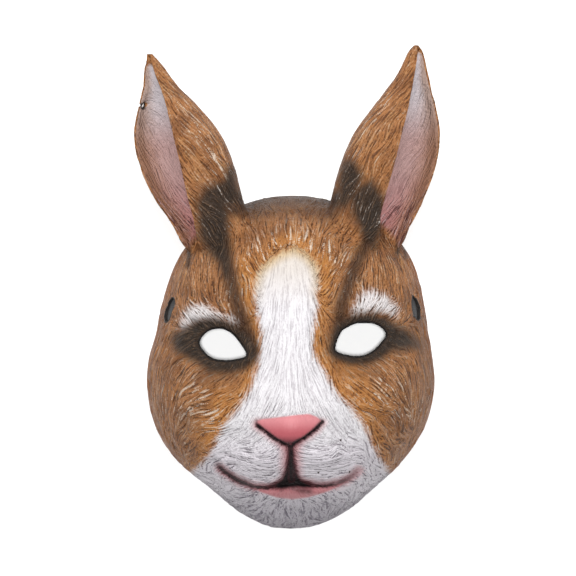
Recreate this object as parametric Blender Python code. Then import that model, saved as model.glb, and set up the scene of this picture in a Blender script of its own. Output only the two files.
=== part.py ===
"""Rabbit face mask: one cast latex shell with two ears, and the elastic strap behind it.

The mask lies face up on its back rim: +Z out of the face, +Y from the chin to the ears.
While it is built, across is measured from the middle line of the face, up from the chin and
height from the rim. At the end everything moves to put the middle of its box at the origin.
"""
import math

import bmesh
import bpy

# Face: its outline on the rim plane, and its depth before the muzzle is added
FACE_WIDTH = 0.202
FACE_HEIGHT = 0.234
FACE_DEPTH = 0.082
WALL = 0.0022

# Cross-sections of the face from the chin, level 0, to the crown, level 1. left, right and
# depth are shares of an ellipsoid's half widths and depth there, and fullness is the power
# of the section's curve: 2 is an ellipse, and more is squarer.
#   level, left, right, depth, fullness
DOME = (
    (0.00, 0.800, 0.870, 0.95, 2.3),
    (0.10, 0.830, 0.865, 1.17, 2.4),
    (0.20, 0.970, 0.962, 1.12, 2.5),
    (0.30, 1.016, 1.008, 1.06, 2.6),
    (0.42, 1.010, 1.012, 1.02, 2.6),
    (0.50, 0.990, 0.990, 1.00, 2.5),
    (0.60, 0.948, 0.972, 0.99, 2.5),
    (0.72, 0.964, 1.010, 1.01, 2.4),
    (0.84, 1.005, 1.085, 1.07, 2.3),
    (1.00, 1.020, 1.130, 1.25, 2.2),
)

# Swells and dents that are added to the height. across and half_across are shares of the
# face's width, up and half_up of its height, and rise of its depth. inside is the share of
# the rise that the back of the wall follows.
#   name, across, up, half_across, half_up, rise, inside
SWELLS = (
    ("muzzle", 0.004, 0.278, 0.168, 0.128, 0.171, 1.0),
    ("left_pad", -0.109, 0.209, 0.084, 0.056, 0.073, 0.7),
    ("right_pad", 0.124, 0.218, 0.084, 0.056, 0.073, 0.7),
    ("nose", 0.000, 0.316, 0.088, 0.046, 0.061, 0.7),
    ("bridge", 0.000, 0.491, 0.064, 0.192, 0.085, 1.0),
    ("forehead", 0.000, 0.800, 0.200, 0.110, 0.030, 1.0),
    ("left_socket", -0.238, 0.553, 0.094, 0.056, -0.098, 1.0),
    ("right_socket", 0.241, 0.568, 0.094, 0.056, -0.098, 1.0),
    ("left_brow", -0.287, 0.652, 0.109, 0.034, 0.049, 1.0),
    ("right_brow", 0.292, 0.680, 0.109, 0.034, 0.049, 1.0),
    ("left_cheek", -0.347, 0.389, 0.129, 0.103, 0.060, 1.0),
    ("right_cheek", 0.351, 0.404, 0.129, 0.103, 0.060, 1.0),
    ("lower_lip", 0.010, 0.118, 0.109, 0.021, 0.037, 0.5),
)
RIM_FADE_SHARE = 0.3

# The mouth is a groove along a smooth line, as shares of the face's width and height
MOUTH_DEPTH = 0.0025
MOUTH_HALF_WIDTH = 0.0030
#   across, up
MOUTH = (
    (-0.244, 0.188),
    (-0.182, 0.150),
    (-0.120, 0.130),
    (-0.054, 0.135),
    (0.000, 0.147),
    (0.061, 0.141),
    (0.127, 0.135),
    (0.189, 0.148),
    (0.238, 0.182),
)

# Eye holes: their middles are shares of the face's width and height, and their outlines go
# round from the inner corner in shares of the eye's own width and height
EYE_WIDTH = 0.034
EYE_HEIGHT = 0.0225
EYE_STEPS = 2
LEFT_EYE_AT = (-0.233, 0.555)
RIGHT_EYE_AT = (0.241, 0.570)
#   across, up
LEFT_EYE = (
    (0.477, -0.327),
    (0.346, 0.047),
    (0.160, 0.358),
    (-0.066, 0.483),
    (-0.313, 0.389),
    (-0.477, 0.078),
    (-0.374, -0.234),
    (-0.189, -0.436),
    (0.058, -0.483),
    (0.263, -0.452),
)
#   across, up
RIGHT_EYE = (
    (-0.514, -0.315),
    (-0.410, 0.200),
    (-0.267, 0.374),
    (-0.062, 0.500),
    (0.165, 0.510),
    (0.385, 0.402),
    (0.514, 0.178),
    (0.453, -0.034),
    (0.267, -0.330),
    (0.041, -0.495),
    (-0.247, -0.486),
)

# Strap slots in the side walls: their places up the face are shares of its height, and the
# rise above the rim is a share of its depth
SLOT_LENGTH = 0.017
SLOT_WIDTH = 0.013
SLOT_LEAN = math.radians(12)
SLOT_SIDES = 20
LEFT_SLOT_SHARE = 0.657
RIGHT_SLOT_SHARE = 0.663
SLOT_RISE_SHARE = 0.380

# Ears: each is a curled sheet whose section is part of an ellipse, open to the side
LEFT_EAR_LENGTH = 0.137
RIGHT_EAR_LENGTH = 0.143
EAR_WIDTH = 0.066
EAR_CURL_DEPTH = 0.040
EAR_WALL = 0.0030
EAR_STANDOFF = 0.036
EAR_THINNEST_SHARE = 0.38
EAR_REAR_ANGLE = math.radians(165)
LEFT_EAR_AT = (-0.272, 0.838)
RIGHT_EAR_AT = (0.282, 0.838)

# Sections of the ears. up is a share of the ear's length, middle of its width, half of its
# half width and height of its standoff; front_edge is the angle of the front margin, where
# 0 points at the middle of the face and -90 out of it.
#   up, middle, half, front_edge, height
LEFT_EAR = (
    (-0.160, 0.200, 0.36, -128, 0.60),
    (-0.060, 0.100, 0.58, -125, 0.80),
    (0.030, 0.035, 0.74, -121, 0.95),
    (0.100, 0.005, 0.82, -117, 1.00),
    (0.173, -0.055, 0.90, -110, 1.00),
    (0.255, -0.147, 0.95, -103, 1.00),
    (0.418, -0.274, 1.02, -96, 1.00),
    (0.582, -0.376, 0.94, -94, 0.98),
    (0.745, -0.484, 0.61, -92, 0.94),
    (0.827, -0.546, 0.39, -92, 0.92),
    (0.908, -0.603, 0.25, -94, 0.90),
    (1.000, -0.668, 0.06, -96, 0.88),
)
#   up, middle, half, front_edge, height
RIGHT_EAR = (
    (-0.160, -0.200, 0.40, -124, 0.60),
    (-0.060, -0.130, 0.66, -119, 0.80),
    (0.030, -0.080, 0.86, -112, 0.95),
    (0.100, -0.055, 0.94, -107, 1.00),
    (0.167, -0.007, 0.98, -102, 1.00),
    (0.245, 0.067, 1.01, -97, 1.00),
    (0.402, 0.177, 1.04, -95, 1.00),
    (0.559, 0.269, 0.94, -95, 0.98),
    (0.716, 0.360, 0.64, -96, 0.94),
    (0.794, 0.403, 0.46, -97, 0.92),
    (0.873, 0.438, 0.30, -100, 0.90),
    (0.960, 0.464, 0.17, -104, 0.88),
    (1.000, 0.473, 0.06, -106, 0.88),
)

# Hang hole in the rear margin of the left ear
EAR_HOLE_RADIUS = 0.0024
EAR_HOLE_SHARE = 0.735
EAR_HOLE_ANGLE = math.radians(151)
MIDDLE_OF_WALL_SHARE = 0.5
EAR_HOLE_SIDES = 12

# Elastic strap: flat webbing with its ends fixed inside the wall behind the slots
STRAP_WIDTH = 0.020
STRAP_THICKNESS = 0.0012
STRAP_GAP = 0.0006
STRAP_END_RISE = 0.012
STRAP_BEND_RADIUS = 0.009
STRAP_WALL_ROWS = 5
STRAP_BEND_ROWS = 5
FLOOR_GAP = 0.0003

# How finely the forms are divided. A band of rows runs from one level to another, and the
# power spaces its rows closer towards the chin or the crown.
#   from_level, to_level, rows, power
OUTER_BANDS = (
    (0.00, 0.10, 7, 2),
    (0.10, 0.42, 26, 1),
    (0.42, 0.72, 14, 1),
    (0.72, 0.90, 6, 1),
    (1.00, 0.90, 6, 2),
)
#   from_level, to_level, rows, power
INNER_BANDS = (
    (0.00, 0.10, 5, 2),
    (0.10, 0.42, 13, 1),
    (0.42, 0.72, 8, 1),
    (0.72, 0.90, 4, 1),
    (1.00, 0.90, 4, 2),
)
OUTER_COLUMNS = (16, 10)
INNER_COLUMNS = (9, 6)
COLUMN_BREAK_SHARE = 0.5
COLUMN_POWER = 2.5
EAR_ROWS = 22
EAR_COLUMNS = 12
CUTTER_REACH = 0.006

# Painted latex and woven elastic: colour, roughness
LATEX_FINISH = ((0.33, 0.15, 0.07), 0.48)
ELASTIC_FINISH = ((0.012, 0.012, 0.013), 0.85)


def between_rows(table, where):
    """The columns of a table at one place, on a smooth curve through its rows."""
    where = min(max(where, table[0][0]), table[-1][0])
    index = max(i for i in range(len(table) - 1) if table[i][0] <= where)
    low, high = table[index], table[index + 1]
    before, after = table[max(index - 1, 0)], table[min(index + 2, len(table) - 1)]
    span = high[0] - low[0]
    part = (where - low[0]) / span
    values = []
    for column in range(1, len(low)):
        slope_low = (high[column] - before[column]) / (high[0] - before[0]) * span
        slope_high = (after[column] - low[column]) / (after[0] - low[0]) * span
        step = high[column] - low[column]
        cubic = slope_low + slope_high - 2 * step
        square = 3 * step - 2 * slope_low - slope_high
        values.append(((cubic * part + square) * part + slope_low) * part + low[column])
    return values


def bell(offset):
    """1 in the middle, falling smoothly to nothing at about two half widths."""
    return math.exp(-offset * offset)


def swell_height(across, up, back=False):
    """Height that the swells, dents and the mouth add at a place on the face."""
    height = 0.0
    for _, at_across, at_up, half_across, half_up, rise, inside in SWELLS:
        run = (across / FACE_WIDTH - at_across) / half_across
        climb = (up / FACE_HEIGHT - at_up) / half_up
        height += rise * FACE_DEPTH * bell(math.hypot(run, climb)) * (inside if back else 1)
    if not back:
        corners = MOUTH[0][0] * FACE_WIDTH, MOUTH[-1][0] * FACE_WIDTH
        line = between_rows(MOUTH, across / FACE_WIDTH)[0] * FACE_HEIGHT
        past = max(corners[0] - across, across - corners[1], 0) / MOUTH_HALF_WIDTH
        height -= MOUTH_DEPTH * bell((up - line) / MOUTH_HALF_WIDTH) * bell(past)
    return height


def section(level, side, inset):
    """Half width, depth and fullness of the face's section at a level, inset by a wall."""
    left, right, depth, fullness = between_rows(DOME, level)
    rounding = 2 * math.sqrt(max(level * (1 - level), 0))
    reach = (left if side < 0 else right) * (FACE_WIDTH / 2 - inset) * rounding
    return reach, depth * (FACE_DEPTH - inset) * rounding, fullness


def face_point(share, level, inset=0.0):
    """Place on the face: share runs from -1 at the left rim to 1 at the right rim."""
    reach, depth, fullness = section(level, share, inset)
    across = share * reach
    up = FACE_HEIGHT / 2 + (level - 0.5) * (FACE_HEIGHT - 2 * inset)
    height = depth * math.sqrt(max(1 - abs(share) ** fullness, 0))
    fade = min(height / (RIM_FADE_SHARE * FACE_DEPTH), 1)
    height += swell_height(across, up, back=inset > 0) * fade * fade * (3 - 2 * fade)
    return across, up, height


def wall_across(side, up, height):
    """Across of the back of the side wall at a height: side is -1 left, 1 right."""
    level = 0.5 + (up - FACE_HEIGHT / 2) / (FACE_HEIGHT - 2 * WALL)
    reach, depth, fullness = section(level, side, WALL)
    return side * reach * (1 - (height / depth) ** 2) ** (1 / fullness)


def column_shares(columns):
    """Shares of the half width: even over the muzzle, then even in angle to the rim."""
    even, turned = columns
    start = math.asin(COLUMN_BREAK_SHARE ** (COLUMN_POWER / 2))
    half = [COLUMN_BREAK_SHARE * i / even for i in range(even)]
    for i in range(turned + 1):
        angle = start + (math.pi / 2 - start) * i / turned
        half.append(math.sin(angle) ** (2 / COLUMN_POWER))
    return [-share for share in reversed(half[1:])] + half


def band_levels(bands):
    """Levels of the rows, from the chin to the crown."""
    levels = {0.0, 1.0}
    for start, end, rows, power in bands:
        for i in range(rows + 1):
            levels.add(round(start + (end - start) * (i / rows) ** power, 9))
    return sorted(levels)


def mapped_grid(columns, rows, place):
    """A bmesh grid bent to a form: place gives the point of each column and row. What
    meets is merged, and each open end is closed by one face."""
    grid = bmesh.new()
    bmesh.ops.create_grid(grid, x_segments=columns, y_segments=rows, size=1)
    for vertex in grid.verts:
        column = round((vertex.co.x + 1) / 2 * columns)
        row = round((vertex.co.y + 1) / 2 * rows)
        vertex.co = place(column, row)
    bmesh.ops.remove_doubles(grid, verts=grid.verts, dist=1e-6)
    bmesh.ops.holes_fill(grid, edges=grid.edges, sides=0)
    bmesh.ops.recalc_face_normals(grid, faces=grid.faces)
    return grid


def finish_material(name, finish):
    """A plain paint or fibre of one colour."""
    color, roughness = finish
    material = bpy.data.materials.new(name)
    material.use_nodes = True
    shader = material.node_tree.nodes["Principled BSDF"]
    shader.inputs["Base Color"].default_value = (*color, 1)
    shader.inputs["Roughness"].default_value = roughness
    shader.inputs["Metallic"].default_value = 0
    material.diffuse_color = (*color, 1)
    return material


def add_object(name, form, collection):
    """Store a bmesh as an object of a collection, shaded smooth."""
    mesh = bpy.data.meshes.new(name)
    form.to_mesh(mesh)
    form.free()
    mesh.shade_smooth()
    mesh.set_sharp_from_angle(angle=math.radians(50))
    piece = bpy.data.objects.new(name, mesh)
    collection.objects.link(piece)
    return piece


def hide_cutter(piece):
    """Cutters and joined forms shape the shell and are not pieces themselves."""
    piece.hide_render = True
    piece.display_type = "WIRE"


def face_form(bands, columns, inset, skirt):
    """The face's dome, closed at the rim, or a skirt's length below it."""
    levels = band_levels(bands)
    shares = column_shares(columns)
    form = mapped_grid(
        len(shares) - 1,
        len(levels) - 1,
        lambda column, row: face_point(shares[column], levels[row], inset),
    )
    if skirt:
        under = max(form.faces, key=lambda face: len(face.verts))
        moved = bmesh.ops.extrude_face_region(form, geom=[under])["geom"]
        points = [item for item in moved if isinstance(item, bmesh.types.BMVert)]
        bmesh.ops.translate(form, verts=points, vec=(0, 0, -skirt))
        bmesh.ops.delete(form, geom=[under], context="FACES_ONLY")
        bmesh.ops.recalc_face_normals(form, faces=form.faces)
    return form


def ear_point(ear, root, length, inward, up, angle, inset):
    """Place on an ear's sheet: inward is the across direction of the face's middle."""
    middle, half, _, height = between_rows(ear, up)
    half_width = half * EAR_WIDTH / 2
    half_depth = half * EAR_CURL_DEPTH / 2
    thickness = min(EAR_WALL, EAR_THINNEST_SHARE * half_depth) * inset
    across = root[0] * FACE_WIDTH + middle * EAR_WIDTH
    across += inward * (half_width - thickness) * math.cos(angle)
    out = height * EAR_STANDOFF - (half_depth - thickness) * math.sin(angle)
    return across, root[1] * FACE_HEIGHT + up * length, out


def ear_form(ear, root, length, inward):
    """An ear: a sheet between its outer and inner curve, with closed ends."""
    ring = 2 * (EAR_COLUMNS + 1)

    def place(column, row):
        column %= ring
        back = column > EAR_COLUMNS
        step = ring - 1 - column if back else column
        up = ear[0][0] + (ear[-1][0] - ear[0][0]) * row / EAR_ROWS
        front = math.radians(between_rows(ear, up)[2])
        angle = front + (EAR_REAR_ANGLE - front) * step / EAR_COLUMNS
        return ear_point(ear, root, length, inward, up, angle, 1 if back else 0)

    return mapped_grid(ring, EAR_ROWS, place)


def eye_outline(table, at):
    """Points round an eye hole, on a smooth closed curve through the table's points."""
    points = []
    count = len(table)
    for index in range(count):
        p0, p1, p2, p3 = (table[(index + shift) % count] for shift in (-1, 0, 1, 2))
        for step in range(EYE_STEPS):
            t = step / EYE_STEPS
            spot = []
            for a, b, c, d in zip(p0, p1, p2, p3):
                bend = (2 * a - 5 * b + 4 * c - d) * t * t + (3 * b - a - 3 * c + d) * t**3
                spot.append((2 * b + (c - a) * t + bend) / 2)
            across = at[0] * FACE_WIDTH + spot[0] * EYE_WIDTH
            points.append((across, at[1] * FACE_HEIGHT + spot[1] * EYE_HEIGHT))
    return points


def eye_cutter(table, at):
    """A straight prism through the face with the eye's outline."""
    form = bmesh.new()
    corners = [form.verts.new((x, y, 0)) for x, y in eye_outline(table, at)]
    flat = form.faces.new(corners)
    moved = bmesh.ops.extrude_face_region(form, geom=[flat])["geom"]
    points = [item for item in moved if isinstance(item, bmesh.types.BMVert)]
    bmesh.ops.translate(form, verts=points, vec=(0, 0, 2 * FACE_DEPTH))
    bmesh.ops.recalc_face_normals(form, faces=form.faces)
    return form


def cross_cutter(radius, reach, sides):
    """A round bar along X."""
    form = bmesh.new()
    bmesh.ops.create_cone(
        form, cap_ends=True, segments=sides, radius1=radius, radius2=radius, depth=reach
    )
    for vertex in form.verts:
        x, y, z = vertex.co
        vertex.co = (z, y, -x)
    return form


def slot_cutter(side, up):
    """An oval bar through one side wall."""
    height = SLOT_RISE_SHARE * FACE_DEPTH
    across = wall_across(side, up * FACE_HEIGHT, height)
    form = cross_cutter(1, 1, SLOT_SIDES)
    for vertex in form.verts:
        x, y, z = vertex.co
        run = y * SLOT_LENGTH / 2
        climb = z * SLOT_WIDTH / 2
        turned = run * math.cos(SLOT_LEAN) - climb * math.sin(SLOT_LEAN)
        raised = run * math.sin(SLOT_LEAN) + climb * math.cos(SLOT_LEAN)
        out = across + x * 4 * CUTTER_REACH
        vertex.co = (out, up * FACE_HEIGHT + turned, height + raised)
    return form


def strap_route():
    """Middle line of the strap as rows of (across, height, side, share of the wall's slant),
    from its left end down the wall, over the floor and up to its right end."""
    up = (LEFT_SLOT_SHARE + RIGHT_SLOT_SHARE) / 2 * FACE_HEIGHT
    top = SLOT_RISE_SHARE * FACE_DEPTH + STRAP_END_RISE
    floor = FLOOR_GAP + STRAP_THICKNESS / 2
    off = STRAP_GAP + STRAP_THICKNESS / 2
    rows = []
    for i in range(STRAP_WALL_ROWS):
        height = top + (floor + STRAP_BEND_RADIUS - top) * i / (STRAP_WALL_ROWS - 1)
        rows.append((wall_across(-1, up, height) + off, height, -1, 1.0))
    foot = rows[-1][0]
    for i in range(1, STRAP_BEND_ROWS + 1):
        angle = math.pi / 2 * i / STRAP_BEND_ROWS
        across = foot + STRAP_BEND_RADIUS * (1 - math.cos(angle))
        height = floor + STRAP_BEND_RADIUS * (1 - math.sin(angle))
        rows.append((across, height, -1, math.cos(angle)))
    left = list(rows)
    for across, height, _, slant in reversed(left):
        shift = wall_across(1, up, height) + wall_across(-1, up, height)
        rows.append((shift - across, height, 1, slant))
    return up, rows


def strap_form():
    """The strap: four edges carried along its route."""
    up, rows = strap_route()
    last = len(rows) - 1

    def place(column, row):
        across, height, side, slant = rows[row]
        before, after = rows[max(row - 1, 0)], rows[min(row + 1, last)]
        run, climb = after[0] - before[0], after[1] - before[1]
        length = math.hypot(run, climb)
        edge = 1 if column % 4 in (1, 2) else -1
        face = 1 if column % 4 in (2, 3) else -1
        edge_up = up + edge * STRAP_WIDTH / 2
        lean = wall_across(side, edge_up, height) - wall_across(side, up, height)
        thick = face * STRAP_THICKNESS / 2 / length
        return across + lean * slant - climb * thick, edge_up, height + run * thick

    return mapped_grid(4, last, place)


def cut(shell, cutter, operation):
    """Join another form to the shell, or cut it away."""
    change = shell.modifiers.new(cutter.name, "BOOLEAN")
    change.operation = operation
    change.solver = "EXACT"
    change.object = cutter
    hide_cutter(cutter)


for old in list(bpy.data.objects):
    bpy.data.objects.remove(old, do_unlink=True)

mask = bpy.data.collections.new("rabbit_mask")
cutters = bpy.data.collections.new("cutters")
for group in (mask, cutters):
    bpy.context.scene.collection.children.link(group)

# Mask shell: the face with both ears, hollow from behind, and its holes
shell = add_object("mask_shell", face_form(OUTER_BANDS, OUTER_COLUMNS, 0, 0), mask)
shell.data.materials.append(finish_material("painted_latex", LATEX_FINISH))
for side, ear, root, length in (
    (1, LEFT_EAR, LEFT_EAR_AT, LEFT_EAR_LENGTH),
    (-1, RIGHT_EAR, RIGHT_EAR_AT, RIGHT_EAR_LENGTH),
):
    name = "left_ear" if side > 0 else "right_ear"
    cut(shell, add_object(name, ear_form(ear, root, length, side), cutters), "UNION")
hollow = face_form(INNER_BANDS, INNER_COLUMNS, WALL, CUTTER_REACH)
cut(shell, add_object("hollow", hollow, cutters), "DIFFERENCE")
for name, table, at in (
    ("left_eye_hole", LEFT_EYE, LEFT_EYE_AT),
    ("right_eye_hole", RIGHT_EYE, RIGHT_EYE_AT),
):
    cut(shell, add_object(name, eye_cutter(table, at), cutters), "DIFFERENCE")
for name, side, up in (("left_slot", -1, LEFT_SLOT_SHARE), ("right_slot", 1, RIGHT_SLOT_SHARE)):
    cut(shell, add_object(name, slot_cutter(side, up), cutters), "DIFFERENCE")
hole = cross_cutter(EAR_HOLE_RADIUS, 2 * CUTTER_REACH, EAR_HOLE_SIDES)
hole_at = ear_point(
    LEFT_EAR,
    LEFT_EAR_AT,
    LEFT_EAR_LENGTH,
    1,
    EAR_HOLE_SHARE,
    EAR_HOLE_ANGLE,
    MIDDLE_OF_WALL_SHARE,
)
bmesh.ops.translate(hole, verts=hole.verts, vec=hole_at)
cut(shell, add_object("ear_hole", hole, cutters), "DIFFERENCE")

# Elastic strap
strap = add_object("elastic_strap", strap_form(), mask)
strap.data.materials.append(finish_material("woven_elastic", ELASTIC_FINISH))

# The middle of the shell's box, at rim height, becomes the origin
bpy.context.view_layer.update()
finished = shell.evaluated_get(bpy.context.evaluated_depsgraph_get())
corners = [vertex.co for vertex in finished.data.vertices]
for piece in list(mask.objects) + list(cutters.objects):
    for axis in (0, 1):
        low = min(corner[axis] for corner in corners)
        high = max(corner[axis] for corner in corners)
        piece.location[axis] = -(low + high) / 2
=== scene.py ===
import math

import bpy
import numpy as np
from mathutils.bvhtree import BVHTree
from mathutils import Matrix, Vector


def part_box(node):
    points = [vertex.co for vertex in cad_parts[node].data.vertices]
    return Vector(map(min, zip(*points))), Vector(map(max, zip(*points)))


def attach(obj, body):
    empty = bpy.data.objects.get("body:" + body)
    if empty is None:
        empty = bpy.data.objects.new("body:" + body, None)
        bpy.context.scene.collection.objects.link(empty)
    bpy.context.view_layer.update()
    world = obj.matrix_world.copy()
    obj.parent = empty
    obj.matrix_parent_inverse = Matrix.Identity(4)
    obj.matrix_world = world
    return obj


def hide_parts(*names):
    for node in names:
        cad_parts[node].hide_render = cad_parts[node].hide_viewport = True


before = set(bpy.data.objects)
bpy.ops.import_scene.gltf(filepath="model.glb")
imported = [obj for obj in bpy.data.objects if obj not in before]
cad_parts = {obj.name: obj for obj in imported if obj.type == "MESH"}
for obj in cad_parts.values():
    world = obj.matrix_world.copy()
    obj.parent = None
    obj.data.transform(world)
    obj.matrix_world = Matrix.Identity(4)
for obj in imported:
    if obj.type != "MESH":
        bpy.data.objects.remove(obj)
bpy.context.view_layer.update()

# Mask shell: one casting of latex rubber about 2 mm thick, the face with both ears.
# Its form is worked out here from the sizes of the real mask, more finely than in the frame.
# The face is a dome of cross-sections, and each ear is a curled sheet open to the side.
FACE_WIDTH = 0.202
FACE_HEIGHT = 0.234
FACE_DEPTH = 0.082
WALL = 0.0022
SKIRT = 0.003
#   level, left, right, depth, fullness
DOME = (
    (0.00, 0.800, 0.870, 0.95, 2.3),
    (0.10, 0.830, 0.865, 1.17, 2.4),
    (0.20, 0.970, 0.962, 1.12, 2.5),
    (0.30, 1.016, 1.008, 1.06, 2.6),
    (0.42, 1.010, 1.012, 1.02, 2.6),
    (0.50, 0.990, 0.990, 1.00, 2.5),
    (0.60, 0.948, 0.972, 0.99, 2.5),
    (0.72, 0.964, 1.010, 1.01, 2.4),
    (0.84, 1.005, 1.085, 1.07, 2.3),
    (1.00, 1.020, 1.130, 1.25, 2.2),
)
#   name, across, up, half_across, half_up, rise, inside
SWELLS = (
    ("muzzle", 0.004, 0.278, 0.168, 0.128, 0.171, 1.0),
    ("left_pad", -0.109, 0.209, 0.084, 0.056, 0.073, 0.7),
    ("right_pad", 0.124, 0.218, 0.084, 0.056, 0.073, 0.7),
    ("nose", 0.000, 0.316, 0.088, 0.046, 0.061, 0.7),
    ("bridge", 0.000, 0.491, 0.064, 0.192, 0.085, 1.0),
    ("forehead", 0.000, 0.800, 0.200, 0.110, 0.030, 1.0),
    ("left_socket", -0.238, 0.553, 0.094, 0.056, -0.098, 1.0),
    ("right_socket", 0.241, 0.568, 0.094, 0.056, -0.098, 1.0),
    ("left_brow", -0.287, 0.652, 0.109, 0.034, 0.049, 1.0),
    ("right_brow", 0.292, 0.680, 0.109, 0.034, 0.049, 1.0),
    ("left_cheek", -0.347, 0.389, 0.129, 0.103, 0.060, 1.0),
    ("right_cheek", 0.351, 0.404, 0.129, 0.103, 0.060, 1.0),
    ("lower_lip", 0.010, 0.118, 0.109, 0.021, 0.037, 0.5),
)
RIM_FADE = 0.3
MOUTH_DEPTH = 0.0025
MOUTH_HALF_WIDTH = 0.0030
#   across, up
MOUTH = (
    (-0.244, 0.188),
    (-0.182, 0.150),
    (-0.120, 0.130),
    (-0.054, 0.135),
    (0.000, 0.147),
    (0.061, 0.141),
    (0.127, 0.135),
    (0.189, 0.148),
    (0.238, 0.182),
)
LEFT_EAR_LENGTH = 0.137
RIGHT_EAR_LENGTH = 0.143
EAR_WIDTH = 0.066
EAR_CURL_DEPTH = 0.040
EAR_WALL = 0.0030
EAR_STANDOFF = 0.036
EAR_THINNEST = 0.42
EAR_REAR_EDGE = 165
LEFT_EAR_AT = (-0.272, 0.838)
RIGHT_EAR_AT = (0.282, 0.838)
#   up, middle, half, front_edge, height
LEFT_EAR = (
    (-0.160, 0.200, 0.36, -128, 0.60),
    (-0.060, 0.100, 0.58, -125, 0.80),
    (0.030, 0.035, 0.74, -121, 0.95),
    (0.100, 0.005, 0.82, -117, 1.00),
    (0.173, -0.055, 0.90, -110, 1.00),
    (0.255, -0.147, 0.95, -103, 1.00),
    (0.418, -0.274, 1.02, -96, 1.00),
    (0.582, -0.376, 0.94, -94, 0.98),
    (0.745, -0.484, 0.61, -92, 0.94),
    (0.827, -0.546, 0.39, -92, 0.92),
    (0.908, -0.603, 0.25, -94, 0.90),
    (1.000, -0.668, 0.06, -96, 0.88),
)
#   up, middle, half, front_edge, height
RIGHT_EAR = (
    (-0.160, -0.200, 0.40, -124, 0.60),
    (-0.060, -0.130, 0.66, -119, 0.80),
    (0.030, -0.080, 0.86, -112, 0.95),
    (0.100, -0.055, 0.94, -107, 1.00),
    (0.167, -0.007, 0.98, -102, 1.00),
    (0.245, 0.067, 1.01, -97, 1.00),
    (0.402, 0.177, 1.04, -95, 1.00),
    (0.559, 0.269, 0.94, -95, 0.98),
    (0.716, 0.360, 0.64, -96, 0.94),
    (0.794, 0.403, 0.46, -97, 0.92),
    (0.873, 0.438, 0.30, -100, 0.90),
    (0.960, 0.464, 0.17, -104, 0.88),
    (1.000, 0.473, 0.06, -106, 0.88),
)
FACE_COLUMNS = 260
FACE_ROWS = 300
HOLLOW_COLUMNS = 70
HOLLOW_ROWS = 84
EAR_COLUMNS = 56
EAR_ROWS = 190
SKIN_VOXEL = 0.0007
ROOT_PASSES = 60
SKIN_PASSES = 3
WEIGHT_LEVELS = 20
# Distances read from the clay are in millimetres
ROOT_FILLET = 7.5
EARS_FROM = 160
FAR = 99.0


def along_table(table, where):
    """The columns of a table at many places, on smooth curves through its rows."""
    rows = np.array(table, dtype=float)
    keys, values = rows[:, 0], rows[:, 1:]
    where = np.clip(where, keys[0], keys[-1])
    index = np.clip(np.searchsorted(keys, where, side="right") - 1, 0, len(keys) - 2)
    before = np.maximum(np.arange(len(keys)) - 1, 0)
    after = np.minimum(np.arange(len(keys)) + 1, len(keys) - 1)
    slopes = (values[after] - values[before]) / (keys[after] - keys[before])[:, None]
    span = (keys[index + 1] - keys[index])[:, None]
    part = (where[:, None] - keys[index][:, None]) / span
    low, high = values[index], values[index + 1]
    slope_low, slope_high = slopes[index] * span, slopes[index + 1] * span
    cubic = slope_low + slope_high - 2 * (high - low)
    square = 3 * (high - low) - 2 * slope_low - slope_high
    return (((cubic * part + square) * part + slope_low) * part + low).T


def bell(offset):
    """1 in the middle, falling smoothly to nothing at about two half widths."""
    return np.exp(-offset * offset)


def smooth_step(low, high, value):
    """0 below low, 1 above high and a smooth rise between."""
    part = np.clip((value - low) / (high - low), 0, 1)
    return part * part * (3 - 2 * part)


def swell_height(across, up, back=False):
    """Height that the swells, dents and the mouth add at places on the face."""
    height = np.zeros_like(across)
    for _, at_across, at_up, half_across, half_up, rise, inside in SWELLS:
        run = (across / FACE_WIDTH - at_across) / half_across
        climb = (up / FACE_HEIGHT - at_up) / half_up
        share = inside if back else 1
        height += rise * FACE_DEPTH * np.exp(-run * run - climb * climb) * share
    if not back:
        line = along_table(MOUTH, across / FACE_WIDTH)[0] * FACE_HEIGHT
        ends = MOUTH[0][0] * FACE_WIDTH, MOUTH[-1][0] * FACE_WIDTH
        past = np.maximum(np.maximum(ends[0] - across, across - ends[1]), 0)
        groove = bell((up - line) / MOUTH_HALF_WIDTH) * bell(past / MOUTH_HALF_WIDTH)
        height -= MOUTH_DEPTH * groove
    return height


def section(level, side, inset=0.0):
    """Half width, depth and fullness of the face's sections, inset by a wall."""
    left, right, depth, fullness = along_table(DOME, level)
    rounding = 2 * np.sqrt(np.maximum(level * (1 - level), 0))
    reach = np.where(side < 0, left, right) * (FACE_WIDTH / 2 - inset) * rounding
    return reach, depth * (FACE_DEPTH - inset) * rounding, fullness


def face_places(share, level, inset):
    """Places on the face: share runs from -1 at the left rim to 1 at the right rim."""
    reach, depth, fullness = section(level, share, inset)
    across = share * reach
    up = FACE_HEIGHT / 2 + (level - 0.5) * (FACE_HEIGHT - 2 * inset)
    height = depth * np.sqrt(np.maximum(1 - np.abs(share) ** fullness, 0))
    fade = smooth_step(0, RIM_FADE * FACE_DEPTH, height)
    return across, up, height + swell_height(across, up, inset > 0) * fade


def ear_places(ear, root, length, inward, up, angle, inset):
    """Places on an ear's sheet: inset 0 is its outer face, and 1 its inner face."""
    middle, half, _, height = along_table(ear, up)
    half_width = half * EAR_WIDTH / 2
    half_depth = half * EAR_CURL_DEPTH / 2
    thickness = np.minimum(EAR_WALL, EAR_THINNEST * half_depth) * inset
    across = root[0] * FACE_WIDTH + middle * EAR_WIDTH
    across = across + inward * (half_width - thickness) * np.cos(angle)
    out = height * EAR_STANDOFF - (half_depth - thickness) * np.sin(angle)
    return across, root[1] * FACE_HEIGHT + up * length, out


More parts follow.
